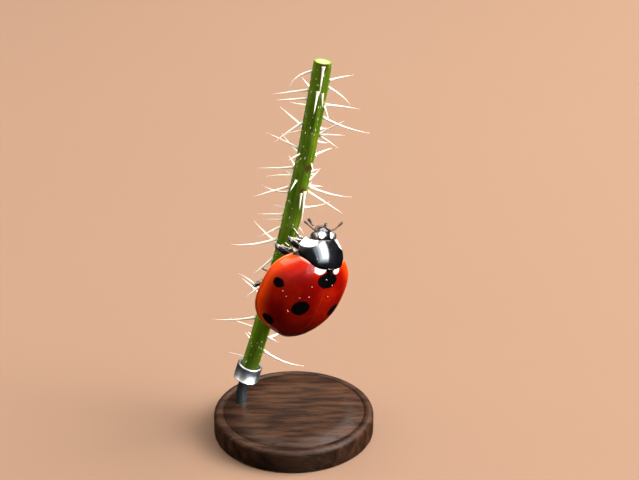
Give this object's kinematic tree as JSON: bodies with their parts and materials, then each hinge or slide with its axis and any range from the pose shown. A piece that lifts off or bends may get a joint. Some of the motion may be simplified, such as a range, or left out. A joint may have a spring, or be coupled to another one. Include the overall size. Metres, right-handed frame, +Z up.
{
  "type": "seven-spot ladybird climbing a cut plant stem on a display stand",
  "caption": "Still, life-size ladybird beetle gripping a cut length of hairy green stem, held upright by a collar and rod on a round wooden base.",
  "frame": {"origin": "centre of the stand's underside", "axes": "+Z up; +X to the right and +Y away from the viewer who faces the beetle's back; the beetle climbs towards +Z, leaning to +X"},
  "size_m": [0.0104, 0.0104, 0.025],
  "materials": {
    "elytra": "glossy orange-red shell with black spots",
    "pronotum": "glossy black shell with white front corners",
    "head": "glossy black with two white spots",
    "black_cuticle": "semi-gloss black shell",
    "underside": "dull black with short fine hair",
    "eyes": "satin dark brown, faceted",
    "feelers": "satin red-brown",
    "legs": "satin black with grey down",
    "stem": "matt green plant skin",
    "stand_metal": "satin",
    "stand_wood": "oiled dark wood"
  },
  "bodies": {
    "root": {"abdomen": "underside", "antenna_left": "feelers", "antenna_right": "feelers", "elytron_left": "elytra", "elytron_right": "elytra", "eye_left": "eyes", "eye_right": "eyes", "femur_front_left": "legs", "femur_front_right": "legs", "femur_hind_left": "legs", "femur_hind_right": "legs", "femur_middle_left": "legs", "femur_middle_right": "legs", "head": "head", "palp_left": "black_cuticle", "palp_right": "black_cuticle", "perch_stem": "stem", "pronotum": "pronotum", "prothorax": "black_cuticle", "scutellum": "black_cuticle", "stand_base": "stand_wood", "stand_collar": "stand_metal", "stand_rod": "stand_metal", "tarsus_front_left": "legs", "tarsus_front_right": "legs", "tarsus_hind_left": "legs", "tarsus_hind_right": "legs", "tarsus_middle_left": "legs", "tarsus_middle_right": "legs", "thorax": "underside", "tibia_front_left": "legs", "tibia_front_right": "legs", "tibia_hind_left": "legs", "tibia_hind_right": "legs", "tibia_middle_left": "legs", "tibia_middle_right": "legs"}
  },
  "joints": []
}
